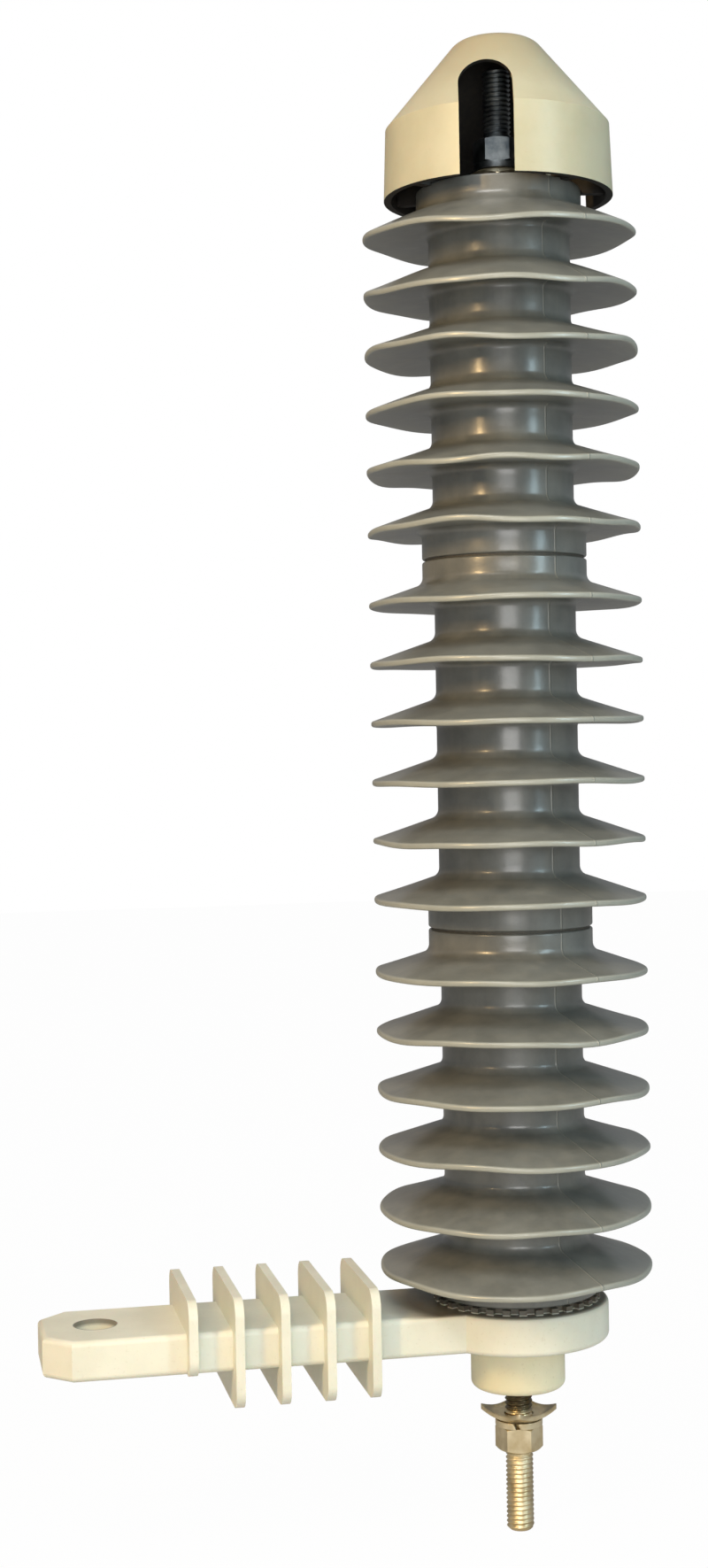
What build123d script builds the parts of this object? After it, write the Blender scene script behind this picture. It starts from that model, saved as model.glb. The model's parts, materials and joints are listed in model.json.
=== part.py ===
"""Distribution surge arrester: three varistor modules stacked on an insulating bracket.

Each module is a column of zinc-oxide blocks between two aluminium terminals, held by a wound
fibreglass sleeve inside a grey rubber housing with six sheds.  A disconnector with the ground
terminal hangs below the bracket, and a moulded wildlife cap covers the line terminal.

Millimetres, +Z up.  The origin is the centre of the bracket's bolt hole, on the underside that
rests on the crossarm hardware.  The arrester's axis is parallel to Z, at X = AXIS_X.
"""

import math
import os

from build123d import *

os.makedirs("parts", exist_ok=True)

# ---------------------------------------------------------------- driving dimensions
# Housing and sheds
MODULES = ("lower", "middle", "upper")
SHEDS_PER_MODULE = 6
SHED_R = 47.0
SHED_PITCH = 20.3
SHED_SLOPE = 0.34  # rise of the upper face for each millimetre towards the shank
UNDER_SLOPE = 0.07  # the same for the underside
RIM_THICK = 1.9
RIM_FILLET = 0.9
ROOT_FILLET = 3.0
SHANK_WALL = 3.7
COLLAR_WALL = 7.7  # thicker ring at each end of a housing
COLLAR_CHAMFER = 0.6
COLLAR_FILLET = 1.5
FIRST_RIM = 9.7  # module's lower end to the middle of its first rim
LAST_RIM = 15.3  # middle of the last rim to the module's upper end
MODULE_H = FIRST_RIM + (SHEDS_PER_MODULE - 1) * SHED_PITCH + LAST_RIM

# Module core
BLOCK_R = 18.0
BLOCKS_PER_MODULE = 3
CONTACT_DISC_T = 1.0
WRAP_T = 2.6
TERMINAL_H = 19.0
TERMINAL_GROOVE = 2.0  # depth of the groove that the sleeve is wound into
TERMINAL_GROOVE_W = 8.0
TERMINAL_GROOVE_Z = 5.0  # terminal's outer face to the groove
FLANGE_T = 2.0
SPRING_H = 3.4
SPRING_T = 1.6
SPRING_HOLE_R = 8.0
GASKET_T = 0.8
GASKET_INSET = 1.0  # the gasket's edge sits this far inside the collar

# Studs, nuts and clamps of the 3/8-16 size
STUD_R = 4.76
THREAD_R = 4.4  # where a nut and the stud in it meet
THREAD_RELIEF = 0.6  # the thread in a nut runs out this far beyond it
STUD_CHAMFER = 1.0
STUD_GRIP = 13.0  # length screwed into a terminal
HOLE_SPARE = 2.0  # the tapped hole is this much deeper
HOLE_PLAY = 0.3  # radial play of a washer or clamp round a stud
NUT_ACROSS_FLATS = 14.3
NUT_H = 8.3
LOCK_R = 8.2
LOCK_T = 2.2
LOCK_GAP = 1.4
LOCK_CUT_TILT = 25.0
LINE_LOCK_CUT = 70.0  # direction of the line lock washer's cut, in degrees
GROUND_LOCK_CUT = 250.0
CLAMP_SIDE = 19.4
CLAMP_CORNER_R = 1.5
CLAMP_T = 1.6
CLAMP_FLAT_R = 7.4
CLAMP_SLOPE = 0.55  # rise of the dished corners for each millimetre outwards
HARDWARE_TURN = -15.0  # direction of a corner of the nuts and clamps, in degrees

# Mounting bracket
AXIS_X = 146.0  # bolt hole to the arrester's axis
BAR_W = 42.4
BAR_T = 13.5
BAR_FILLET = 2.0
TONGUE_END = 18.4  # bolt hole's centre to the bar's end
TONGUE_CHAMFER = 9.0
BOLT_HOLE_R = 7.15
DISC_R = 31.7
DISC_FILLET = 2.0
SEAT_INSET = 1.5  # the seat stands this far inside the collar
SEAT_H = 1.8  # the seat stands this far above the bar
SEAT_TEETH = 32
TOOTH_REACH = 2.0  # from the seat's edge outwards
TOOTH_W = 2.6
RIB_COUNT = 5
RIB_FIRST = 55.5  # arrester's axis to the nearest rib
RIB_PITCH = 15.2
RIB_W = 55.4
RIB_T = 3.0
RIB_OVER = 11.5  # a rib stands this far above and below the bar
RIB_CORNER_R = 6.0

# Disconnector
DISCONNECTOR_R = 16.3
DISCONNECTOR_H = 17.6
DISCONNECTOR_WALL = 3.0
DISCONNECTOR_FILLET = 2.4
CONTACT_T = 3.0
GRADING_R = 12.0
GRADING_HOLE_R = 5.2
CARTRIDGE_R = 3.4
CARTRIDGE_RIM_R = 4.2
CARTRIDGE_RIM_T = 1.0
GROUND_CLAMP_GAP = 6.8  # disconnector's underside to the clamp's corners
GROUND_STUD_BELOW_NUT = 28.1

# Line terminal
SEAL_R = 12.0
SEAL_T = 1.2
LINE_CLAMP_GAP = 0.7
LINE_STUD_H = 41.2  # above the top module

# Wildlife cap
CAP_H = 53.8
CAP_DROP = 2.8  # the skirt reaches this far below the top module's end
CAP_WALL = 2.4
CAP_RIM_R = 39.3
CAP_SHOULDER_R = 38.4
CAP_SHOULDER_H = 23.8
CAP_SHOULDER_FILLET = 6.0
CAP_CROWN_R = 13.2
CAP_CROWN_FILLET = 8.0
CAP_SLOTS = ((256.5, -4.5), (32.0, 0.0))  # each lead slot's direction in degrees, and its shift
SLOT_W = 18.0
SLOT_H = 41.2  # from the skirt's lower edge to the top of the arch
LUG_ANGLES = (75.0, 145.0, 200.0, 305.0, 350.0)
LUG_W = 3.0
LUG_REACH = 4.0  # how far a lug lies over the housing's end
LUG_H = 8.0
LUG_PLAY = 0.3

# ---------------------------------------------------------------- derived sizes and places
CORE_R = BLOCK_R + WRAP_T  # outside of the sleeve, and bore of the housing
SHANK_R = CORE_R + SHANK_WALL
COLLAR_R = CORE_R + COLLAR_WALL
SEAT_R = COLLAR_R - SEAT_INSET
SEAT_Z = BAR_T + SEAT_H
TOP_Z = SEAT_Z + len(MODULES) * MODULE_H
CONTACT_DISCS = BLOCKS_PER_MODULE + 1
CORE_H = MODULE_H - 2 * TERMINAL_H - SPRING_H - CONTACT_DISCS * CONTACT_DISC_T
BLOCK_H = CORE_H / BLOCKS_PER_MODULE
HOLE_R = STUD_R + HOLE_PLAY
NUT_CORNER_R = NUT_ACROSS_FLATS / 2 / math.cos(math.radians(30))
CLAMP_CORNER = CLAMP_SIDE / math.sqrt(2) - CLAMP_CORNER_R * (math.sqrt(2) - 1)
CLAMP_RISE = (CLAMP_CORNER - CLAMP_FLAT_R) * CLAMP_SLOPE
CAVITY_R = DISCONNECTOR_R - DISCONNECTOR_WALL
CHAMBER_H = DISCONNECTOR_H - DISCONNECTOR_WALL - 2 * CONTACT_T
GROUND_CLAMP_Z = -DISCONNECTOR_H - GROUND_CLAMP_GAP - CLAMP_RISE
GROUND_NUT_TOP = GROUND_CLAMP_Z - CLAMP_T - LOCK_T
LINE_CLAMP_Z = TOP_Z + SEAL_T + LINE_CLAMP_GAP + CLAMP_RISE
LINE_NUT_Z = LINE_CLAMP_Z + CLAMP_T + LOCK_T
CAP_Z = TOP_Z - CAP_DROP
AXIS = Axis((AXIS_X, 0, 0), (0, 0, 1))


def section(z):
    """The XZ plane through the arrester's axis: local X is the radius, local Y the height over z."""
    return Plane(origin=(AXIS_X, 0, z), x_dir=(1, 0, 0), z_dir=(0, -1, 0))


def level(z, turn=0.0):
    """A horizontal plane on the arrester's axis at height z, with its X turned about the axis."""
    direction = (math.cos(math.radians(turn)), math.sin(math.radians(turn)), 0)
    return Plane(origin=(AXIS_X, 0, z), x_dir=direction, z_dir=(0, 0, 1))


def write(piece, name):
    """Labels a finished piece and writes it as a node of its own."""
    piece.part.label = name
    export_step(piece.part, f"parts/{name}.step")


def write_turned(points, z, name):
    """Writes a solid turned about the arrester's axis, from (radius, height over z) points."""
    with BuildPart() as turned:
        with BuildSketch(section(z)):
            with BuildLine():
                Polyline(*points, close=True)
            make_face()
        revolve(axis=AXIS)
    write(turned, name)


def write_ring(outer, inner, z, height, name):
    """Writes a flat ring on the arrester's axis, or a disc where inner is 0."""
    with BuildPart() as ring:
        with BuildSketch(level(z)):
            Circle(outer)
            if inner:
                Circle(inner, mode=Mode.SUBTRACT)
        extrude(amount=height)
    write(ring, name)


def write_stud(z, length, name):
    """Writes a stud with chamfered ends that stands on z."""
    with BuildPart() as stud:
        with BuildSketch(level(z)):
            Circle(STUD_R)
        extrude(amount=length)
        chamfer(stud.edges().filter_by(GeomType.CIRCLE), STUD_CHAMFER)
    write(stud, name)


# ---------------------------------------------------------------- modules
def write_housing(z, name):
    """Writes a rubber housing: a tube with a collar at each end and its sheds between them."""
    low = GASKET_T / 2
    high = MODULE_H - GASKET_T / 2
    outline = [(CORE_R, low), (COLLAR_R, low)]
    for index in range(SHEDS_PER_MODULE):
        rim_z = FIRST_RIM + index * SHED_PITCH
        under_r = COLLAR_R if index == 0 else SHANK_R
        over_r = COLLAR_R if index == SHEDS_PER_MODULE - 1 else SHANK_R
        outline += [
            (under_r, rim_z - RIM_THICK / 2 + UNDER_SLOPE * (SHED_R - under_r)),
            (SHED_R, rim_z - RIM_THICK / 2),
            (SHED_R, rim_z + RIM_THICK / 2),
            (over_r, rim_z + RIM_THICK / 2 + SHED_SLOPE * (SHED_R - over_r)),
        ]
    outline += [(COLLAR_R, high), (CORE_R, high)]
    with BuildPart() as housing:
        with BuildSketch(section(z)) as profile:
            with BuildLine():
                Polyline(*outline, close=True)
            make_face()
            by_radius = profile.vertices().group_by(Axis.X)
            rims, collars, roots = by_radius[-1], by_radius[-2].sort_by(Axis.Y), by_radius[1]
            fillet(rims, RIM_FILLET)
            fillet(roots, ROOT_FILLET)
            fillet(collars[1:-1], COLLAR_FILLET)
            chamfer([collars[0], collars[-1]], COLLAR_CHAMFER)
        revolve(axis=AXIS)
    write(housing, name)


def write_terminal(z, outward, name):
    """Writes an end terminal whose outer face is at z and looks up (+1) or down (-1).

    The flange closes the sleeve's end, the groove holds the windings, and the blind hole in the
    middle is tapped for a stud.
    """
    hole = STUD_GRIP + HOLE_SPARE
    groove_end = TERMINAL_GROOVE_Z + TERMINAL_GROOVE_W
    outline = [
        (STUD_R, 0),
        (CORE_R, 0),
        (CORE_R, FLANGE_T),
        (BLOCK_R, FLANGE_T),
        (BLOCK_R, TERMINAL_GROOVE_Z),
        (BLOCK_R - TERMINAL_GROOVE, TERMINAL_GROOVE_Z + TERMINAL_GROOVE),
        (BLOCK_R - TERMINAL_GROOVE, groove_end - TERMINAL_GROOVE),
        (BLOCK_R, groove_end),
        (BLOCK_R, TERMINAL_H),
        (0, TERMINAL_H),
        (0, hole),
        (STUD_R, hole),
    ]
    write_turned([(radius, -outward * depth) for radius, depth in outline], z, name)


def write_wrap(z, name):
    """Writes the wound fibreglass sleeve, with the windings that fill the terminals' grooves."""
    groove_end = TERMINAL_GROOVE_Z + TERMINAL_GROOVE_W
    bead = [
        (BLOCK_R, FLANGE_T),
        (BLOCK_R, TERMINAL_GROOVE_Z),
        (BLOCK_R - TERMINAL_GROOVE, TERMINAL_GROOVE_Z + TERMINAL_GROOVE),
        (BLOCK_R - TERMINAL_GROOVE, groove_end - TERMINAL_GROOVE),
        (BLOCK_R, groove_end),
    ]
    upper_bead = [(radius, MODULE_H - height) for radius, height in reversed(bead)]
    outside = [(CORE_R, MODULE_H - FLANGE_T), (CORE_R, FLANGE_T)]
    write_turned(bead + upper_bead + outside, z, name)


def write_disc_spring(z, name):
    """Writes the conical spring washer that loads the column, wide edge down."""
    cone = SPRING_H - SPRING_T
    outline = [
        (SPRING_HOLE_R, cone),
        (BLOCK_R, 0),
        (BLOCK_R, SPRING_T),
        (SPRING_HOLE_R, SPRING_H),
    ]
    write_turned(outline, z, name)


def write_module(module, z):
    """Writes every piece of the module whose lower end is at z."""
    write_housing(z, f"{module}_housing")
    write_wrap(z, f"{module}_sleeve")
    write_terminal(z, -1, f"{module}_bottom_terminal")
    write_terminal(z + MODULE_H, 1, f"{module}_top_terminal")
    at = z + TERMINAL_H
    for index in range(CONTACT_DISCS):
        write_ring(BLOCK_R, 0, at, CONTACT_DISC_T, f"{module}_contact_disc_{index + 1}")
        at += CONTACT_DISC_T
        if index < BLOCKS_PER_MODULE:
            write_ring(BLOCK_R, 0, at, BLOCK_H, f"{module}_varistor_{index + 1}")
            at += BLOCK_H
    write_disc_spring(at, f"{module}_disc_spring")


for index, module in enumerate(MODULES):
    module_z = SEAT_Z + index * MODULE_H
    write_module(module, module_z)
    if index:
        gasket_r = COLLAR_R - GASKET_INSET
        write_ring(gasket_r, CORE_R, module_z - GASKET_T / 2, GASKET_T, f"joint_gasket_{index}")
        write_stud(module_z - STUD_GRIP, 2 * STUD_GRIP, f"coupling_stud_{index}")

write_ring(SEAT_R, CORE_R, SEAT_Z, GASKET_T / 2, "base_gasket")


# ---------------------------------------------------------------- terminal hardware
def write_nut(z, name):
    """Writes a hexagon nut that stands on z, with both faces' corners chamfered."""
    drop = (NUT_CORNER_R - NUT_ACROSS_FLATS / 2) / math.sqrt(3)
    with BuildPart() as nut:
        with BuildSketch(level(z, HARDWARE_TURN)):
            RegularPolygon(NUT_CORNER_R, 6)
            Circle(THREAD_R, mode=Mode.SUBTRACT)
        extrude(amount=NUT_H)
        with BuildSketch(section(z)):
            with BuildLine():
                Polyline(
                    (0, 0),
                    (NUT_ACROSS_FLATS / 2, 0),
                    (NUT_CORNER_R, drop),
                    (NUT_CORNER_R, NUT_H - drop),
                    (NUT_ACROSS_FLATS / 2, NUT_H),
                    (0, NUT_H),
                    close=True,
                )
            make_face()
        revolve(axis=AXIS, mode=Mode.INTERSECT)
    write(nut, name)


def write_lock_washer(z, turn, name):
    """Writes a split lock washer, flattened under its nut, with its slanting cut."""
    blade = Rot(LOCK_CUT_TILT, 0, 0) * Box(LOCK_R, LOCK_GAP, 4 * LOCK_T)
    cut = level(z + LOCK_T / 2, turn) * Pos((LOCK_R + HOLE_R) / 2, 0, 0) * blade
    with BuildPart() as washer:
        with BuildSketch(level(z)):
            Circle(LOCK_R)
            Circle(HOLE_R, mode=Mode.SUBTRACT)
        extrude(amount=LOCK_T)
        add(cut, mode=Mode.SUBTRACT)
    write(washer, name)


def write_clamp(z, side, name):
    """Writes a stamped square wire clamp whose flat middle has its wire side at z.

    side is +1 where the dished corners point up to the wire, and -1 where they point down.
    """
    far = CLAMP_SIDE
    rise = (far - CLAMP_FLAT_R) * CLAMP_SLOPE
    outline = [
        (HOLE_R, 0),
        (CLAMP_FLAT_R, 0),
        (far, side * rise),
        (far, side * (rise - CLAMP_T)),
        (CLAMP_FLAT_R, -side * CLAMP_T),
        (HOLE_R, -side * CLAMP_T),
    ]
    with BuildPart() as clamp:
        with BuildSketch(section(z)):
            with BuildLine():
                Polyline(*outline, close=True)
            make_face()
        revolve(axis=AXIS)
        with BuildSketch(level(z - far, HARDWARE_TURN + 45)):
            RectangleRounded(CLAMP_SIDE, CLAMP_SIDE, CLAMP_CORNER_R)
        extrude(amount=2 * far, mode=Mode.INTERSECT)
    write(clamp, name)


line_tip = STUD_GRIP + LINE_STUD_H
line_nut = STUD_GRIP + LINE_NUT_Z - TOP_Z
write_turned(
    [
        (0, 0),
        (STUD_R - STUD_CHAMFER, 0),
        (STUD_R, STUD_CHAMFER),
        (STUD_R, line_nut),
        (THREAD_R, line_nut),
        (THREAD_R, line_nut + NUT_H + THREAD_RELIEF),
        (STUD_R, line_nut + NUT_H + THREAD_RELIEF),
        (STUD_R, line_tip - STUD_CHAMFER),
        (STUD_R - STUD_CHAMFER, line_tip),
        (0, line_tip),
    ],
    TOP_Z - STUD_GRIP,
    "line_terminal_stud",
)
write_ring(SEAL_R, HOLE_R, TOP_Z, SEAL_T, "line_flat_washer")
write_clamp(LINE_CLAMP_Z, -1, "line_wire_clamp")
write_lock_washer(LINE_CLAMP_Z + CLAMP_T, LINE_LOCK_CUT, "line_lock_washer")
write_nut(LINE_NUT_Z, "line_nut")

write_clamp(GROUND_CLAMP_Z, 1, "ground_wire_clamp")
write_lock_washer(GROUND_NUT_TOP, GROUND_LOCK_CUT, "ground_lock_washer")
write_nut(GROUND_NUT_TOP - NUT_H, "ground_nut")

# ---------------------------------------------------------------- disconnector
with BuildPart() as disconnector_cup:
    with BuildSketch(level(-DISCONNECTOR_H)):
        Circle(DISCONNECTOR_R)
    extrude(amount=DISCONNECTOR_H)
    lower_rim = disconnector_cup.edges().filter_by(GeomType.CIRCLE).sort_by(Axis.Z)[0]
    fillet(lower_rim, DISCONNECTOR_FILLET)
    with BuildSketch(level(-DISCONNECTOR_H + DISCONNECTOR_WALL)):
        Circle(CAVITY_R)
    extrude(amount=DISCONNECTOR_H, mode=Mode.SUBTRACT)
    with BuildSketch(level(-DISCONNECTOR_H)):
        Circle(STUD_R)
    extrude(amount=DISCONNECTOR_WALL, mode=Mode.SUBTRACT)
write(disconnector_cup, "disconnector_cup")

upper_stud_tip = SEAT_Z + STUD_GRIP + CONTACT_T
write_turned(
    [
        (0, 0),
        (CAVITY_R, 0),
        (CAVITY_R, CONTACT_T),
        (STUD_R, CONTACT_T),
        (STUD_R, upper_stud_tip - STUD_CHAMFER),
        (STUD_R - STUD_CHAMFER, upper_stud_tip),
        (0, upper_stud_tip),
    ],
    -CONTACT_T,
    "disconnector_upper_stud",
)

chamber_z = -CONTACT_T - CHAMBER_H
write_ring(GRADING_R, GRADING_HOLE_R, chamber_z, CHAMBER_H, "grading_resistor")
write_turned(
    [
        (0, 0),
        (CARTRIDGE_RIM_R, 0),
        (CARTRIDGE_RIM_R, CARTRIDGE_RIM_T),
        (CARTRIDGE_R, CARTRIDGE_RIM_T),
        (CARTRIDGE_R, CHAMBER_H),
        (0, CHAMBER_H),
    ],
    chamber_z,
    "disconnector_cartridge",
)

ground_stud_tip = GROUND_NUT_TOP - NUT_H - GROUND_STUD_BELOW_NUT
plate_z = chamber_z - ground_stud_tip
write_turned(
    [
        (0, 0),
        (STUD_R - STUD_CHAMFER, 0),
        (STUD_R, STUD_CHAMFER),
        (STUD_R, GROUND_STUD_BELOW_NUT - THREAD_RELIEF),
        (THREAD_R, GROUND_STUD_BELOW_NUT - THREAD_RELIEF),
        (THREAD_R, GROUND_STUD_BELOW_NUT + NUT_H),
        (STUD_R, GROUND_STUD_BELOW_NUT + NUT_H),
        (STUD_R, plate_z - CONTACT_T),
        (CAVITY_R, plate_z - CONTACT_T),
        (CAVITY_R, plate_z),
        (0, plate_z),
    ],
    ground_stud_tip,
    "ground_stud",
)


# ---------------------------------------------------------------- mounting bracket
def rib_plane(index):
    """The vertical plane of a rib's outer face, with local X across the bar and local Y up."""
    rib_x = AXIS_X - RIB_FIRST - index * RIB_PITCH - RIB_T / 2
    return Plane(origin=(rib_x, 0, 0), x_dir=(0, 1, 0), z_dir=(1, 0, 0))


with BuildPart() as mounting_bracket:
    with BuildSketch(Plane.XY):
        with BuildLine():
            Polyline(
                (AXIS_X, -BAR_W / 2),
                (AXIS_X, BAR_W / 2),
                (TONGUE_CHAMFER - TONGUE_END, BAR_W / 2),
                (-TONGUE_END, BAR_W / 2 - TONGUE_CHAMFER),
                (-TONGUE_END, TONGUE_CHAMFER - BAR_W / 2),
                (TONGUE_CHAMFER - TONGUE_END, -BAR_W / 2),
                close=True,
            )
        make_face()
    extrude(amount=BAR_T)
    bar_faces = mounting_bracket.faces().filter_by(Axis.Z)
    fillet(bar_faces.edges().filter_by(lambda edge: edge.center().X < AXIS_X - 1), BAR_FILLET)
    with BuildSketch(level(0)):
        Circle(DISC_R)
    extrude(amount=BAR_T)
    disc_edges = mounting_bracket.edges().filter_by(GeomType.CIRCLE)
    fillet(disc_edges.filter_by(lambda edge: edge.radius > DISC_R - 1), DISC_FILLET)
    with BuildSketch(level(BAR_T)):
        Circle(SEAT_R)
        with PolarLocations(SEAT_R - 1, SEAT_TEETH):
            Rectangle(TOOTH_REACH + 1, TOOTH_W, align=(Align.MIN, Align.CENTER))
    extrude(amount=SEAT_H)
    for index in range(RIB_COUNT):
        rib_foot = 0 if index == RIB_COUNT - 1 else -RIB_OVER
        with BuildSketch(rib_plane(index)) as rib:
            with Locations((0, rib_foot)):
                Rectangle(RIB_W, BAR_T + RIB_OVER - rib_foot, align=(Align.CENTER, Align.MIN))
            fillet(rib.vertices(), RIB_CORNER_R)
        extrude(amount=RIB_T)
    with BuildSketch(Plane.XY):
        Circle(BOLT_HOLE_R)
        with Locations((AXIS_X, 0)):
            Circle(HOLE_R)
    extrude(amount=SEAT_Z, mode=Mode.SUBTRACT)
write(mounting_bracket, "mounting_bracket")


# ---------------------------------------------------------------- wildlife cap
def radial_plane(direction):
    """The vertical plane through the axis that faces a direction, with local Y up from the rim."""
    angle = math.radians(direction)
    outward = (math.cos(angle), math.sin(angle), 0)
    across = (-math.sin(angle), math.cos(angle), 0)
    return Plane(origin=(AXIS_X, 0, CAP_Z), x_dir=across, z_dir=outward)


def cap_corners(inset):
    """The corners of the cap's half-section, thinned by inset, from the rim up to the crown."""
    return [
        (CAP_RIM_R - inset, 0),
        (CAP_SHOULDER_R - inset, CAP_SHOULDER_H - inset / 2),
        (CAP_CROWN_R - inset / 2, CAP_H - inset),
    ]


with BuildPart() as wildlife_cap:
    for inset, mode in ((0, Mode.ADD), (CAP_WALL, Mode.SUBTRACT)):
        with BuildSketch(section(CAP_Z)) as profile:
            with BuildLine():
                Polyline((0, 0), *cap_corners(inset), (0, CAP_H - inset), close=True)
            make_face()
            corners = profile.vertices().filter_by(lambda corner: corner.X > 1).sort_by(Axis.Y)
            fillet(corners[-1], CAP_CROWN_FILLET - inset)
            fillet(corners[1], CAP_SHOULDER_FILLET - inset)
        revolve(axis=AXIS, mode=mode)
    for direction in LUG_ANGLES:
        lug_z = CAP_DROP - GASKET_T / 2
        with BuildSketch(radial_plane(direction - 90)):
            with BuildLine():
                Polyline(
                    (COLLAR_R - LUG_REACH, lug_z),
                    (COLLAR_R + LUG_PLAY, lug_z),
                    (COLLAR_R + LUG_PLAY, CAP_DROP / 2),
                    (CAP_SHOULDER_R - CAP_WALL / 2, CAP_DROP / 2),
                    (CAP_SHOULDER_R - CAP_WALL / 2, lug_z + LUG_H),
                    (COLLAR_R - LUG_REACH, lug_z + LUG_H),
                    close=True,
                )
            make_face()
        extrude(amount=LUG_W / 2, both=True)
    for direction, shift in CAP_SLOTS:
        with BuildSketch(radial_plane(direction)):
            with Locations((shift, 0)):
                Rectangle(SLOT_W, SLOT_H - SLOT_W / 2, align=(Align.CENTER, Align.MIN))
            with Locations((shift, SLOT_H - SLOT_W / 2)):
                Circle(SLOT_W / 2)
        extrude(amount=CAP_RIM_R + 1, mode=Mode.SUBTRACT)
write(wildlife_cap, "wildlife_cap")
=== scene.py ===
"""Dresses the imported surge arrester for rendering: camera, studio, materials and detailed pieces.

Every length is in metres, in the model's own frame: +Z up, with the origin at the bracket's bolt
hole and the arrester's axis parallel to Z.
"""

import json
import math
import random

import bmesh
import bpy
from mathutils import Matrix, Vector


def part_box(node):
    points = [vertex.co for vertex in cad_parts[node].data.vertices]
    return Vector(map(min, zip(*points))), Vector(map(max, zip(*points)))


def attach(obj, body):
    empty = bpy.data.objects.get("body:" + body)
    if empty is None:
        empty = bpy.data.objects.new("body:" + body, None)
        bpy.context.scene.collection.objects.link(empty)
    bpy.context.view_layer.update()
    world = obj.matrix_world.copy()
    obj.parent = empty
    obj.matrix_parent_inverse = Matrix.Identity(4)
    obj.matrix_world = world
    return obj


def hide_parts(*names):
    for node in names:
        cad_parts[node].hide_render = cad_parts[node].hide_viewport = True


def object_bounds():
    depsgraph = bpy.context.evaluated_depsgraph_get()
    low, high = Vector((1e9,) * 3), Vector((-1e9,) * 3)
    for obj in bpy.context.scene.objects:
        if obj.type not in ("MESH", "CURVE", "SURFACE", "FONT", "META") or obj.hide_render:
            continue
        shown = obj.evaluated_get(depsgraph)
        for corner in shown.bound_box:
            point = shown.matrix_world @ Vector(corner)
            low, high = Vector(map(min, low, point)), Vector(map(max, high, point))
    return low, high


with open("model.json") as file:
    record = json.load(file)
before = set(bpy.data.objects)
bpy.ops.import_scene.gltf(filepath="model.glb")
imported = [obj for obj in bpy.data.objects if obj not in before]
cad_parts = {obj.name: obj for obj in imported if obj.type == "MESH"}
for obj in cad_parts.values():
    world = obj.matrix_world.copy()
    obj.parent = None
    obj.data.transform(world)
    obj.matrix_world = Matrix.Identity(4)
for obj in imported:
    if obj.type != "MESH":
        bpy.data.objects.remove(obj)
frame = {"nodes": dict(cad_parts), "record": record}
cad_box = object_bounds()
nodes = frame["nodes"]

MM = 0.001
MODULES = ("lower", "middle", "upper")
AXIS_X = sum(corner[0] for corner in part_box("wildlife_cap")) / 2
FLOOR_Z = cad_box[0][2]

# Housing: the model's sizes, apart from the rims' radius and the fillets
SHEDS = 6
SHED_R = 46.9 * MM
SHED_PITCH = 20.3 * MM
SHED_SLOPE = 0.34
UNDER_SLOPE = 0.07
RIM_THICK = 1.9 * MM
RIM_ROUND = 0.9 * MM
ROOT_ROUND = 3.4 * MM
UNDER_ROUND = 2.4 * MM
SHANK_R = 24.3 * MM
COLLAR_R = 28.3 * MM
COLLAR_ROUND = 0.7 * MM
FIRST_RIM = 9.7 * MM
BORE_R = 20.6 * MM
GASKET_HALF = 0.4 * MM
# Waves of the rims by module, and how many of them go round a shed
RIM_WAVES = {"lower": 0.7 * MM, "middle": 0.55 * MM, "upper": 1.0 * MM}
WAVE_TURNS = (3, 5, 8)
# Sheds that hang lower on the front, by module and index from its lower end
DROOPS = {("upper", 5): 4.2, ("upper", 4): 3.7, ("upper", 3): 1.3, ("lower", 1): 1.4, ("lower", 0): 1.5}
DROOP_DIRECTION = math.radians(-105)
DROOP_SPREAD = math.radians(60)
TURN_STEPS = 216
LONGEST_STRETCH = 2.4 * MM

# Bracket, as the model has it, for the places of its painted shade
BOLT_HOLE_R = 7.15 * MM
BAR_T = 13.5 * MM
DISC_R = 31.7 * MM

# Threads of the 3/8-16 studs
STUD_R = 4.76 * MM
THREAD_PITCH = 25.4 / 16 * MM
THREAD_DEPTH = 0.62 * MM
THREAD_FLAT = 0.1  # share of a flank that is flat, at its crest and at its root
THREAD_SHARP = math.radians(50)
THREAD_STEPS = 8
STUD_STEPS = 48
STUD_CHAMFER = 1.0 * MM

# Rounded edges of the moulded and stamped pieces
CAP_EDGE = 0.5 * MM
BRACKET_EDGE = 0.45 * MM
DISCONNECTOR_EDGE = 0.3 * MM
HARDWARE_EDGE = 0.2 * MM
EDGE_STEPS = 3
HARDWARE_EDGE_STEPS = 2
EDGE_LIMIT = math.radians(35)
SAME_PLACE = 0.002 * MM
SAME_PLANE = math.radians(0.5)

# The cap's inside, dark with painted shade
INSIDE_FACING = -0.3  # faces that turn further than this to the axis or down are inside
LUG_INSET = 4 * MM
LUG_TOP = 12 * MM
SKIRT_EDGE = 1 * MM

random.seed(17)


# ---------------------------------------------------------------- camera
CAMERA_PLACE = Vector((-0.0587, -0.7486, 0.2070))
CAMERA_SWING = math.radians(11.36)
CAMERA_DIP = math.radians(1.11)
CAMERA_ROLL = math.radians(1.06)
CAMERA_LENS = 51.44
FRAME_HEIGHT = 36.0


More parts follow.
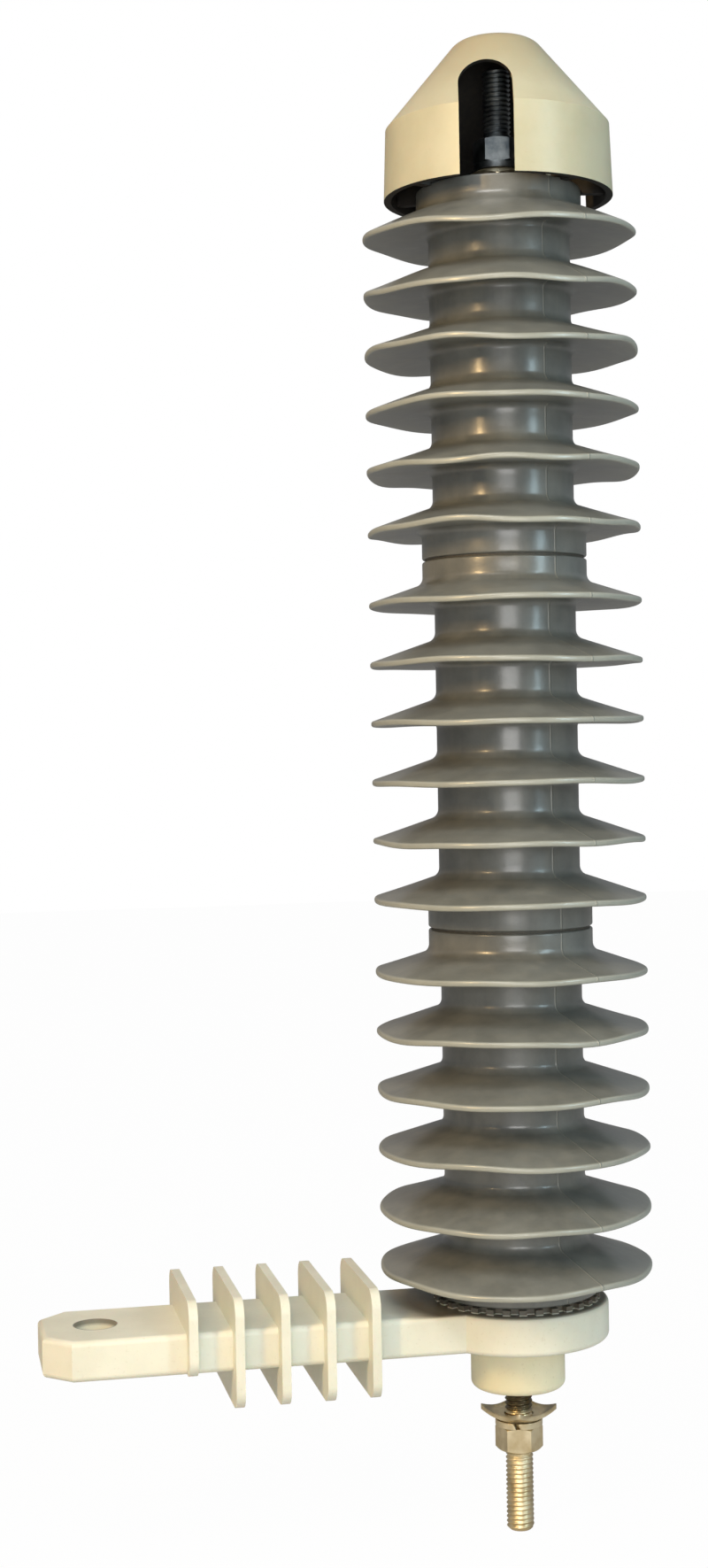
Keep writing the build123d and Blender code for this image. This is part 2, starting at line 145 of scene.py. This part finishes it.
def add_camera():
    """The camera at the viewing distance, nearly level with the arrester's middle."""
    data = bpy.data.cameras.new("view_camera")
    data.sensor_fit = "VERTICAL"
    data.sensor_height = FRAME_HEIGHT
    data.lens = CAMERA_LENS
    data.clip_start = 0.01
    level = Vector((math.sin(CAMERA_SWING), math.cos(CAMERA_SWING), 0))
    ahead = level * math.cos(CAMERA_DIP) - Vector((0, 0, math.sin(CAMERA_DIP)))
    right = ahead.cross(Vector((0, 0, 1))).normalized()
    up = right.cross(ahead)
    rolled_right = right * math.cos(CAMERA_ROLL) - up * math.sin(CAMERA_ROLL)
    rolled_up = right * math.sin(CAMERA_ROLL) + up * math.cos(CAMERA_ROLL)
    turn = Matrix((rolled_right, rolled_up, -ahead)).transposed().to_4x4()
    camera = bpy.data.objects.new("view_camera", data)
    camera.matrix_world = Matrix.Translation(CAMERA_PLACE) @ turn
    bpy.context.collection.objects.link(camera)
    bpy.context.scene.camera = camera


# ---------------------------------------------------------------- material helpers
class Shade:
    """A material's node tree, with short calls for the nodes that this scene uses."""

    def __init__(self, name):
        self.material = bpy.data.materials.new(name)
        self.material.use_nodes = True
        self.tree = self.material.node_tree
        self.surface = self.tree.nodes["Principled BSDF"]
        coordinates = self.tree.nodes.new("ShaderNodeTexCoord")
        self.place = coordinates.outputs["Object"]
        self.facing = coordinates.outputs["Normal"]

    def node(self, kind, inputs=None, **settings):
        """Adds a node, sets its properties and fills or links its inputs."""
        made = self.tree.nodes.new(kind)
        for key, value in settings.items():
            setattr(made, key, value)
        for key, value in (inputs or {}).items():
            if isinstance(value, bpy.types.NodeSocket):
                self.tree.links.new(value, made.inputs[key])
            else:
                made.inputs[key].default_value = value
        return made

    def noise(self, scale, detail, roughness, vector=None):
        """A noise value from 0 to 1, with its scale in features for each metre."""
        inputs = {"Vector": vector or self.place, "Scale": scale, "Detail": detail, "Roughness": roughness}
        return self.node("ShaderNodeTexNoise", inputs).outputs["Fac"]

    def stretched(self, scale):
        """The object's coordinates, scaled by a different amount along each axis."""
        inputs = {"Vector": self.place, "Scale": scale}
        return self.node("ShaderNodeMapping", inputs).outputs["Vector"]

    def math(self, operation, first, second=0.0):
        """One arithmetic step."""
        return self.node("ShaderNodeMath", {0: first, 1: second}, operation=operation).outputs[0]

    def spread(self, value, low, high, start=0.0, end=1.0):
        """Maps a value from low..high to start..end, clamped."""
        inputs = {"Value": value, "From Min": low, "From Max": high, "To Min": start, "To Max": end}
        return self.node("ShaderNodeMapRange", inputs).outputs["Result"]

    def blend(self, share, first, second):
        """Mixes two colours by a share from 0 to 1."""
        mix = self.node("ShaderNodeMix", data_type="RGBA")
        for key, value in (("Factor", share), (6, first), (7, second)):
            if isinstance(value, bpy.types.NodeSocket):
                self.tree.links.new(value, mix.inputs[key])
            else:
                mix.inputs[key].default_value = value
        return mix.outputs[2]

    def coordinate(self, axis, vector=None):
        """The X, Y or Z part of the object's coordinates, or of another vector."""
        return self.node("ShaderNodeSeparateXYZ", {"Vector": vector or self.place}).outputs[axis]

    def from_axis(self):
        """How far along X a place is from the arrester's axis."""
        return self.math("SUBTRACT", self.coordinate("X"), AXIS_X)

    def reach(self, across, along):
        """Length of a level vector from its two parts."""
        squares = [self.math("POWER", part, 2.0) for part in (across, along)]
        return self.math("SQRT", self.math("ADD", *squares))

    def radius(self):
        """Distance from the arrester's axis."""
        return self.reach(self.from_axis(), self.coordinate("Y"))

    def off_plane(self, direction):
        """Distance from the vertical plane through the axis that runs in a direction, in degrees."""
        angle = math.radians(direction)
        side = self.math("MULTIPLY", self.from_axis(), -math.sin(angle))
        offset = self.math("ADD", side, self.math("MULTIPLY", self.coordinate("Y"), math.cos(angle)))
        return self.math("ABSOLUTE", offset)

    def bump(self, height, distance, strength, under=None):
        """A bump normal, laid over another one if that is given."""
        inputs = {"Height": height, "Distance": distance, "Strength": strength}
        if under:
            inputs["Normal"] = under
        return self.node("ShaderNodeBump", inputs).outputs["Normal"]

    def finish(self, colour, roughness, normal, **fixed):
        """Links the surface's colour, roughness and bump, and sets its fixed values."""
        self.tree.links.new(colour, self.surface.inputs["Base Color"])
        self.tree.links.new(roughness, self.surface.inputs["Roughness"])
        self.tree.links.new(normal, self.surface.inputs["Normal"])
        for key, value in fixed.items():
            self.surface.inputs[key.replace("_", " ")].default_value = value
        return self.material


def rgb(red, green, blue):
    """A colour from its display values of 0 to 255, in the linear numbers that shaders take."""

    def linear(value):
        value /= 255
        return value / 12.92 if value <= 0.04045 else ((value + 0.055) / 1.055) ** 2.4

    return (linear(red), linear(green), linear(blue), 1.0)


# ---------------------------------------------------------------- materials
PARTING_DIRECTION = -68.0  # where the mould's halves met, in degrees about the axis
WINDING_PITCH = 2.4 * MM
ROUGHNESS_SPREAD = 0.06


def housing_rubber():
    """Grey silicone rubber: satin and faintly mottled, with painted light that grows paler towards the
    rims and a painted highlight along them.
    """
    shade = Shade("housing_rubber")
    mottle = shade.noise(70.0, 6.0, 0.6)
    streaks = shade.noise(1.0, 3.0, 0.5, shade.stretched((160.0, 160.0, 24.0)))
    grey = shade.blend(shade.spread(mottle, 0.35, 0.68), rgb(94, 96, 93), rgb(117, 119, 115))
    grey = shade.blend(shade.spread(streaks, 0.45, 0.8, 0.0, 0.35), grey, rgb(136, 134, 123))
    # Painted light: paler towards the rims, standing in for the shade that the sheds above cast near the
    # roots
    painted_light_rimward = shade.spread(shade.radius(), SHANK_R + 7.0 * MM, SHED_R - 2.0 * MM, 0.0, 0.2)
    grey = shade.blend(painted_light_rimward, grey, rgb(150, 149, 136))
    # Painted highlight: a pale band along the rims, where light catches their edge
    rim = shade.spread(shade.radius(), SHED_R - 1.0 * MM, SHED_R - 0.2 * MM, 0.0, 0.35)
    grey = shade.blend(rim, grey, rgb(188, 190, 176))
    parting = shade.spread(shade.off_plane(PARTING_DIRECTION), 0.1 * MM, 0.45 * MM, 1.0, 0.0)
    grey = shade.blend(shade.math("MULTIPLY", parting, 0.35), grey, rgb(150, 150, 138))
    grain = shade.noise(2600.0, 3.0, 0.6)
    normal = shade.bump(grain, 0.05 * MM, 0.35)
    normal = shade.bump(shade.noise(160.0, 3.0, 0.5), 0.5 * MM, 0.22, normal)
    normal = shade.bump(parting, 0.3 * MM, 0.8, normal)
    rough = shade.spread(mottle, 0.3, 0.7, 0.3, 0.42)
    return shade.finish(grey, rough, normal, Specular_IOR_Level=0.6, Coat_Weight=0.45, Coat_Roughness=0.2)


def bracket_painted_shade(shade):
    """How much painted shade the bracket gets: at the seat, in the bolt hole, and on top beneath the
    lowest shed.
    """
    facing = shade.coordinate("Z", shade.facing)
    height = shade.coordinate("Z")
    # Painted shadow: top faces beneath the lowest shed
    under_shed = shade.spread(shade.radius(), SHED_R - 9 * MM, SHED_R + 3 * MM, 0.85, 0.0)
    painted_shade_share = shade.math("MULTIPLY", shade.spread(facing, 0.6, 0.9), under_shed)
    reach = shade.reach(shade.coordinate("X"), shade.coordinate("Y"))
    # Painted shade: the upper wall of the bolt hole
    in_hole = shade.spread(reach, BOLT_HOLE_R + 0.1 * MM, BOLT_HOLE_R + 0.5 * MM, 1.0, 0.0)
    near_top = shade.spread(height, BAR_T - 2.4 * MM, BAR_T - 1.2 * MM, 0.05, 0.75)
    painted_shade_share = shade.math("MAXIMUM", painted_shade_share, shade.math("MULTIPLY", in_hole, near_top))
    # Painted shadow: the seat above the bar, beneath the lowest shed
    above_bar = shade.spread(height, BAR_T + 0.1 * MM, BAR_T + 0.4 * MM, 0.0, 0.9)
    by_seat = shade.spread(shade.radius(), DISC_R, DISC_R + 2 * MM, 1.0, 0.0)
    return shade.math("MAXIMUM", painted_shade_share, shade.math("MULTIPLY", above_bar, by_seat))


def cap_crown_painted_shade(shade):
    """Painted shade on the cap: darker towards the crown."""
    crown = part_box("wildlife_cap")[1][2]
    height = shade.coordinate("Z")
    # Painted shade: darker towards the crown
    return shade.spread(height, crown - 24 * MM, crown - 2 * MM, 0.0, 0.75)


def cream_plastic(name, base, warm, painted_shade_mask=None, painted_shade_colour=None):
    """Glass-filled polyester or moulded cap plastic: cream and mottled, darkened with painted shade where
    the given mask says.
    """
    shade = Shade(name)
    cloud = shade.noise(38.0, 5.0, 0.6)
    speck = shade.noise(900.0, 2.0, 0.5)
    colour = shade.blend(shade.spread(cloud, 0.35, 0.7), base, warm)
    colour = shade.blend(shade.spread(speck, 0.62, 0.78, 0.0, 0.25), colour, rgb(176, 166, 132))
    # Painted shade, where the given mask says
    if painted_shade_mask:
        colour = shade.blend(painted_shade_mask(shade), colour, painted_shade_colour)
    normal = shade.bump(shade.noise(1500.0, 3.0, 0.55), 0.05 * MM, 0.3)
    normal = shade.bump(shade.noise(110.0, 2.0, 0.5), 0.6 * MM, 0.16, normal)
    rough = shade.spread(cloud, 0.3, 0.7, 0.34, 0.46)
    return shade.finish(
        colour, rough, normal, Subsurface_Weight=0.12, Subsurface_Scale=0.003, Specular_IOR_Level=0.5
    )


def ground_painted_shade(shade):
    """How much painted shade the ground terminal gets: only above its wire clamp, next to the
    disconnector, where the hollow of the clamp lies in shade.
    """
    clamp_low, clamp_high = (corner[2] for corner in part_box("ground_wire_clamp"))
    height = shade.coordinate("Z")
    above_clamp = shade.spread(height, (clamp_low + clamp_high) / 2, clamp_high - 1 * MM, 0.0, 0.8)
    below_bar = shade.spread(height, 0.0, BAR_T, 1.0, 0.0)
    by_stud = shade.spread(shade.radius(), 2 * STUD_R, 2 * STUD_R + 4 * MM, 1.0, 0.0)
    return shade.math("MULTIPLY", shade.math("MULTIPLY", above_clamp, below_bar), by_stud)


def plated_steel(name, dull, bright, painted_shade_mask=None):
    """Plated steel: a dull tint with brighter patches and fine scratches, darkened with painted shade
    where the given mask says.
    """
    shade = Shade(name)
    patches = shade.noise(150.0, 4.0, 0.6)
    scratch = shade.noise(1.0, 3.0, 0.7, shade.stretched((2600.0, 2600.0, 260.0)))
    colour = shade.blend(shade.spread(patches, 0.35, 0.7), dull, bright)
    # Painted shade: dark brown where the given mask says
    if painted_shade_mask:
        colour = shade.blend(painted_shade_mask(shade), colour, rgb(46, 40, 32))
    normal = shade.bump(scratch, 0.03 * MM, 0.2)
    rough = shade.spread(patches, 0.3, 0.7, 0.32, 0.46)
    return shade.finish(colour, rough, normal, Metallic=1.0)


def plain_grain(name, dark, pale, rough, metal, scale):
    """A fine-grained material for a piece that is mostly hidden."""
    shade = Shade(name)
    grain = shade.noise(scale, 4.0, 0.6)
    colour = shade.blend(shade.spread(grain, 0.35, 0.7), dark, pale)
    normal = shade.bump(grain, 0.05 * MM, 0.4)
    roughness = shade.spread(grain, 0.3, 0.7, rough - ROUGHNESS_SPREAD, rough + ROUGHNESS_SPREAD)
    return shade.finish(colour, roughness, normal, Metallic=metal)


def fibreglass():
    """Glass-fibre windings in yellowish resin, crossing at a shallow angle."""
    shade = Shade("fibreglass_sleeve")
    bands = shade.math("SINE", shade.math("MULTIPLY", shade.coordinate("Z"), 2 * math.pi / WINDING_PITCH))
    colour = shade.blend(shade.spread(bands, -1.0, 1.0), rgb(188, 176, 112), rgb(216, 208, 156))
    normal = shade.bump(bands, 0.15 * MM, 0.6)
    return shade.finish(colour, shade.spread(bands, -1.0, 1.0, 0.3, 0.42), normal)


# Plain materials: dark and pale colour, roughness, share of metal, and grains for each metre
PLAIN_GRAINS = {
    # The cap's inside: a dark sheet of painted shade where the inside lies in shade
    "cap_inside_painted_shade": (rgb(30, 28, 26), rgb(48, 44, 38), 0.7, 0.0, 600.0),
    "gasket_rubber": (rgb(58, 56, 50), rgb(78, 75, 66), 0.6, 0.0, 900.0),
    "terminal_aluminium": (rgb(190, 190, 188), rgb(214, 214, 212), 0.34, 1.0, 700.0),
    "contact_aluminium": (rgb(200, 200, 198), rgb(220, 220, 218), 0.3, 1.0, 500.0),
    "varistor_ceramic": (rgb(44, 46, 48), rgb(66, 68, 70), 0.5, 0.0, 1100.0),
    "spring_steel": (rgb(120, 118, 112), rgb(156, 154, 148), 0.34, 1.0, 600.0),
    "resistor_body": (rgb(28, 28, 28), rgb(44, 44, 42), 0.6, 0.0, 800.0),
    "cartridge_brass": (rgb(186, 150, 78), rgb(212, 180, 108), 0.3, 1.0, 600.0),
}
MATERIALS = {
    "housing_rubber": housing_rubber(),
    # The cap's darker brown is painted shade towards the crown
    "cap_plastic": cream_plastic(
        "cap_plastic", rgb(178, 173, 145), rgb(189, 184, 158), cap_crown_painted_shade, rgb(158, 144, 112)
    ),
    # The bracket's dark brown is painted shade: its shadow beneath the lowest shed and in the bolt hole
    "bracket_plastic": cream_plastic(
        "bracket_plastic", rgb(214, 213, 196), rgb(226, 225, 209), bracket_painted_shade, rgb(64, 56, 44)
    ),
    "disconnector_plastic": cream_plastic("disconnector_plastic", rgb(220, 213, 180), rgb(231, 225, 195)),
    # The ground terminal's zinc carries painted shade above its wire clamp
    "zinc_steel": plated_steel("zinc_steel", rgb(204, 186, 148), rgb(234, 222, 192), ground_painted_shade),
    # A darker copy of the plated steel: painted shade for the pieces inside the cap
    "shaded_steel": plated_steel("shaded_steel", rgb(84, 92, 98), rgb(138, 144, 146)),
    **{name: plain_grain(name, *look) for name, look in PLAIN_GRAINS.items()},
    "fibreglass_sleeve": fibreglass(),
}
SLOT_OF = {entry["node"]: entry["material_slot"] for entry in frame["record"]["subparts"]}
# Pieces inside the cap that get a darker copy of their slot's plated steel, as painted shade
DARKENED = ("line_nut", "line_lock_washer", "line_terminal_stud")


def finish_of(node):
    """The material of a CAD node: its slot's, or, for the line terminal inside the cap, a darker copy of
    the plated steel as painted shade.
    """
    if node in DARKENED:
        return MATERIALS["shaded_steel"]
    return MATERIALS[SLOT_OF[node]]


def paint_nodes():
    """Gives every carried-over CAD node its material."""
    for name, node in nodes.items():
        node.data.materials.clear()
        node.data.materials.append(finish_of(name))


# ---------------------------------------------------------------- meshes
def add_piece(name, mesh, stands_for):
    """Adds a detailed piece that rides on the body and stands for a CAD node."""
    mesh.materials.clear()
    mesh.materials.append(finish_of(stands_for))
    piece = bpy.data.objects.new(name, mesh)
    bpy.context.collection.objects.link(piece)
    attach(piece, "root")
    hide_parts(stands_for)
    return piece


def rounded(corners, steps=7):
    """Rounds the corners of an outline: each is (radius, height, fillet), and 0 leaves it sharp."""
    points = []
    for index, (radius, height, fillet) in enumerate(corners):
        here = Vector((radius, height))
        if not fillet:
            points.append(here)
            continue
        before = Vector(corners[index - 1][:2])
        after = Vector(corners[(index + 1) % len(corners)][:2])
        back = (before - here).normalized()
        on = (after - here).normalized()
        half = back.angle(on) / 2
        reach = min(fillet / math.tan(half), 0.49 * (before - here).length, 0.49 * (after - here).length)
        bend = reach * math.tan(half)
        centre = here + (back + on).normalized() * (bend / math.sin(half))
        start = here + back * reach - centre
        end = here + on * reach - centre
        sweep = start.angle_signed(end)
        for step in range(steps + 1):
            angle = -sweep * step / steps
            turned = Vector(
                (
                    start.x * math.cos(angle) - start.y * math.sin(angle),
                    start.x * math.sin(angle) + start.y * math.cos(angle),
                )
            )
            points.append(centre + turned)
    return points


def divided(points, longest):
    """Divides an outline's long stretches, so that a turned mesh can follow waves."""
    dense = []
    for index, point in enumerate(points):
        after = points[(index + 1) % len(points)]
        count = max(1, math.ceil((after - point).length / longest))
        dense += [point.lerp(after, step / count) for step in range(count)]
    return dense


def turned_mesh(name, outline, steps, shape=None):
    """Turns a closed outline about the arrester's axis, shape(radius, height, angle) moving each point."""
    verts = []
    for step in range(steps):
        angle = 2 * math.pi * step / steps
        for point in outline:
            radius, height = shape(point.x, point.y, angle) if shape else (point.x, point.y)
            verts.append((AXIS_X + radius * math.cos(angle), radius * math.sin(angle), height))
    count = len(outline)
    faces = []
    for step in range(steps):
        near = step * count
        far = (step + 1) % steps * count
        for index in range(count):
            after = (index + 1) % count
            faces.append((near + index, near + after, far + after, far + index))
    mesh = bpy.data.meshes.new(name)
    mesh.from_pydata(verts, [], faces)
    work = bmesh.new()
    work.from_mesh(mesh)
    bmesh.ops.recalc_face_normals(work, faces=work.faces)
    work.to_mesh(mesh)
    work.free()
    mesh.shade_smooth()
    return mesh


# ---------------------------------------------------------------- housings
def housing_corners(low, high):
    """The corners of a housing's half-section between its lower and upper ends."""
    corners = [(BORE_R, low, 0), (COLLAR_R, low, COLLAR_ROUND)]
    for index in range(SHEDS):
        rim_z = low - GASKET_HALF + FIRST_RIM + index * SHED_PITCH
        under_r = COLLAR_R if index == 0 else SHANK_R
        over_r = COLLAR_R if index == SHEDS - 1 else SHANK_R
        corners += [
            (under_r, rim_z - RIM_THICK / 2 + UNDER_SLOPE * (SHED_R - under_r), UNDER_ROUND),
            (SHED_R, rim_z - RIM_THICK / 2, RIM_ROUND),
            (SHED_R, rim_z + RIM_THICK / 2, RIM_ROUND),
            (over_r, rim_z + RIM_THICK / 2 + SHED_SLOPE * (SHED_R - over_r), ROOT_ROUND),
        ]
    corners += [(COLLAR_R, high, COLLAR_ROUND), (BORE_R, high, 0)]
    return corners


def add_housing(module):
    """One rubber housing, whose thin sheds droop and ripple a little towards the rims."""
    low, high = (corner[2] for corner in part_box(f"{module}_housing"))
    waves = []
    for _ in range(SHEDS):
        rim = []
        for turns in WAVE_TURNS:
            size = random.uniform(0.4, 1.0) / turns**0.5
            rim.append((turns, size, random.uniform(0, 2 * math.pi)))
        waves.append(rim)

    def ripple(radius, height, angle):
        """Moves a point of the housing by the waves and the droop of its shed."""
        index = round((height - low - FIRST_RIM) / SHED_PITCH)
        index = min(max(index, 0), SHEDS - 1)
        reach = max(0.0, (radius - COLLAR_R) / (SHED_R - COLLAR_R))
        lift = sum(size * math.sin(turns * angle + phase) for turns, size, phase in waves[index])
        away = (angle - DROOP_DIRECTION + math.pi) % (2 * math.pi) - math.pi
        droop = DROOPS.get((module, index), 0.0) * MM * math.exp(-((away / DROOP_SPREAD) ** 2))
        return radius, height + reach**2 * RIM_WAVES[module] * lift - reach**1.5 * droop

    outline = divided(rounded(housing_corners(low, high)), LONGEST_STRETCH)
    mesh = turned_mesh(f"{module}_rubber", outline, TURN_STEPS, ripple)
    add_piece(f"{module}_rubber", mesh, f"{module}_housing")


# ---------------------------------------------------------------- studs and threads
def thread_radius(height, angle):
    """Radius of a thread's surface: flanks meeting in narrow flats at crest and root."""
    turn = (height / THREAD_PITCH - angle / (2 * math.pi)) % 1.0
    flank = abs(2 * turn - 1)
    depth = (flank - THREAD_FLAT) / (1 - 2 * THREAD_FLAT)
    return STUD_R - THREAD_DEPTH * min(1.0, max(0.0, depth))


def threaded_mesh(name, low, high, tips):
    """A threaded rod from low to high, tapered at the ends that tips names ("low", "high")."""
    rows = math.ceil((high - low) / THREAD_PITCH * THREAD_STEPS)
    verts = []
    for row in range(rows + 1):
        height = low + (high - low) * row / rows
        taper = 0.0
        if "low" in tips:
            taper = max(taper, STUD_CHAMFER - (height - low))
        if "high" in tips:
            taper = max(taper, STUD_CHAMFER - (high - height))
        for step in range(STUD_STEPS):
            angle = 2 * math.pi * step / STUD_STEPS
            radius = min(thread_radius(height, angle), STUD_R - taper)
            verts.append((AXIS_X + radius * math.cos(angle), radius * math.sin(angle), height))
    faces = []
    for row in range(rows):
        for step in range(STUD_STEPS):
            after = (step + 1) % STUD_STEPS
            near = row * STUD_STEPS
            far = near + STUD_STEPS
            faces.append((near + step, near + after, far + after, far + step))
    faces.append(tuple(reversed(range(STUD_STEPS))))
    faces.append(tuple(rows * STUD_STEPS + step for step in range(STUD_STEPS)))
    mesh = bpy.data.meshes.new(name)
    mesh.from_pydata(verts, [], faces)
    mesh.shade_smooth()
    mesh.set_sharp_from_angle(angle=THREAD_SHARP)
    return mesh


def add_studs():
    """The ground stud below the disconnector and the line stud inside the cap, with their threads."""
    studs = (
        ("ground_stud", "ground_stud_threads", ("low",)),
        ("line_terminal_stud", "line_stud_threads", ("low", "high")),
    )
    for node, name, tips in studs:
        low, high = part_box(node)
        add_piece(name, threaded_mesh(name, low[2], high[2], tips), node)


# ---------------------------------------------------------------- moulded and stamped pieces
def add_softened(node, name, width, steps=EDGE_STEPS):
    """A copy of a CAD node's mesh with its edges rounded off, as moulding or stamping leaves them."""
    mesh = nodes[node].data.copy()
    work = bmesh.new()
    work.from_mesh(mesh)
    bmesh.ops.remove_doubles(work, verts=work.verts, dist=SAME_PLACE)
    bmesh.ops.dissolve_limit(work, angle_limit=SAME_PLANE, verts=work.verts, edges=work.edges)
    work.to_mesh(mesh)
    work.free()
    stored_normals = mesh.attributes.get("custom_normal")
    if stored_normals:
        mesh.attributes.remove(stored_normals)
    mesh.shade_smooth()
    piece = add_piece(name, mesh, node)
    bevel = piece.modifiers.new("soft_edges", "BEVEL")
    bevel.width = width
    bevel.segments = steps
    bevel.limit_method = "ANGLE"
    bevel.angle_limit = EDGE_LIMIT
    piece.modifiers.new("even_normals", "WEIGHTED_NORMAL").keep_sharp = True
    return piece


def paint_cap_inside_shade(piece):
    """Paints the cap's inner faces and lugs dark as painted shade: those that look to the axis or down
    inside.
    """
    piece.data.materials.append(MATERIALS["cap_inside_painted_shade"])
    low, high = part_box("wildlife_cap")
    lug_reach = (high[0] - low[0]) / 2 - LUG_INSET
    for face in piece.data.polygons:
        outward = Vector((face.center.x - AXIS_X, face.center.y, 0))
        faces_axis = face.normal.dot(outward.normalized()) < INSIDE_FACING
        faces_down = face.normal.z < INSIDE_FACING and face.center.z > low[2] + SKIRT_EDGE
        on_lug = outward.length < lug_reach and face.center.z < low[2] + LUG_TOP
        if faces_axis or faces_down or on_lug:
            face.material_index = 1


# ---------------------------------------------------------------- studio
# Lamps: name, place, size, watts and colour
LAMPS = (
    ("warm_left", (-0.6, -0.6, 0.6), (0.1, 0.3), 6.0, (1.0, 0.68, 0.32)),
    ("cool_right", (0.65, -0.7, 0.5), (0.15, 0.6), 3.2, (0.66, 0.9, 1.0)),
    ("front_high", (-0.2, -0.7, 1.05), (0.5, 0.3), 4.8, (1.0, 0.99, 0.97)),
    ("front_low", (-0.05, -1.2, 0.25), (0.55, 0.3), 4.2, (1.0, 0.99, 0.97)),
)
LAMP_AIM = Vector((AXIS_X, 0, 0.19))
# The sky's strength by how far up a ray goes: dim below, brighter above
SKY = {"From Min": -0.3, "From Max": 0.6, "To Min": 0.08, "To Max": 0.4}
WHITE = (1.0, 1.0, 1.0, 1.0)
FLOOR_HALF = 3.0
FLOOR_TONE = (0.6, 0.6, 0.59, 1.0)
FLOOR_GLOW = 0.98  # how much of the floor the camera sees as plain white


def add_lamp(name, place, size, power, colour):
    """A soft rectangular lamp that looks at the arrester's middle."""
    data = bpy.data.lights.new(name, "AREA")
    data.shape = "RECTANGLE"
    data.size, data.size_y = size
    data.energy = power
    data.color = colour
    lamp = bpy.data.objects.new(name, data)
    lamp.location = place
    aim = LAMP_AIM - Vector(place)
    lamp.rotation_euler = aim.to_track_quat("-Z", "Y").to_euler()
    bpy.context.collection.objects.link(lamp)


def add_world():
    """A graded sky that lights the object and shows in its metal, and is plain white to the camera."""
    world = bpy.data.worlds.new("studio")
    world.use_nodes = True
    bpy.context.scene.world = world
    tree = world.node_tree
    background = tree.nodes["Background"]
    background.inputs["Color"].default_value = WHITE
    path = tree.nodes.new("ShaderNodeLightPath")
    seen = tree.nodes.new("ShaderNodeMapRange")
    tree.links.new(path.outputs["Is Camera Ray"], seen.inputs["Value"])
    direction = tree.nodes.new("ShaderNodeSeparateXYZ")
    tree.links.new(tree.nodes.new("ShaderNodeTexCoord").outputs["Generated"], direction.inputs["Vector"])
    sky = tree.nodes.new("ShaderNodeMapRange")
    tree.links.new(direction.outputs["Z"], sky.inputs["Value"])
    for key, value in SKY.items():
        sky.inputs[key].default_value = value
    tree.links.new(sky.outputs["Result"], seen.inputs["To Min"])
    seen.inputs["To Max"].default_value = 1.0
    tree.links.new(seen.outputs["Result"], background.inputs["Strength"])


def add_floor():
    """A pale floor, nearly white to the camera, with a faint shadow on it."""
    mesh = bpy.data.meshes.new("floor")
    corners = [(-1, -1), (1, -1), (1, 1), (-1, 1)]
    mesh.from_pydata([(x * FLOOR_HALF, y * FLOOR_HALF, FLOOR_Z) for x, y in corners], [], [(0, 1, 2, 3)])
    shade = Shade("floor_white")
    shade.surface.inputs["Base Color"].default_value = FLOOR_TONE
    shade.surface.inputs["Roughness"].default_value = 0.9
    glow = shade.node("ShaderNodeEmission", {"Color": WHITE, "Strength": 1.0})
    seen = shade.node("ShaderNodeLightPath").outputs["Is Camera Ray"]
    share = shade.math("MULTIPLY", seen, FLOOR_GLOW)
    mix = shade.node("ShaderNodeMixShader", {0: share, 1: shade.surface.outputs[0], 2: glow.outputs[0]})
    output = shade.tree.nodes["Material Output"]
    shade.tree.links.new(mix.outputs[0], output.inputs["Surface"])
    mesh.materials.append(shade.material)
    floor = bpy.data.objects.new("floor", mesh)
    bpy.context.collection.objects.link(floor)


add_camera()
add_world()
add_floor()
for lamp_settings in LAMPS:
    add_lamp(*lamp_settings)
paint_nodes()
for module in MODULES:
    add_housing(module)
add_studs()
paint_cap_inside_shade(add_softened("wildlife_cap", "cap_shell", CAP_EDGE))
add_softened("mounting_bracket", "bracket_moulding", BRACKET_EDGE)
add_softened("disconnector_cup", "disconnector_shell", DISCONNECTOR_EDGE)
for part in ("nut", "wire_clamp", "lock_washer", "flat_washer"):
    for end in ("line", "ground"):
        if f"{end}_{part}" in nodes:
            node = f"{end}_{part}"
            add_softened(node, f"{node}_plated", HARDWARE_EDGE, HARDWARE_EDGE_STEPS)

bpy.context.scene.view_settings.view_transform = "Standard"
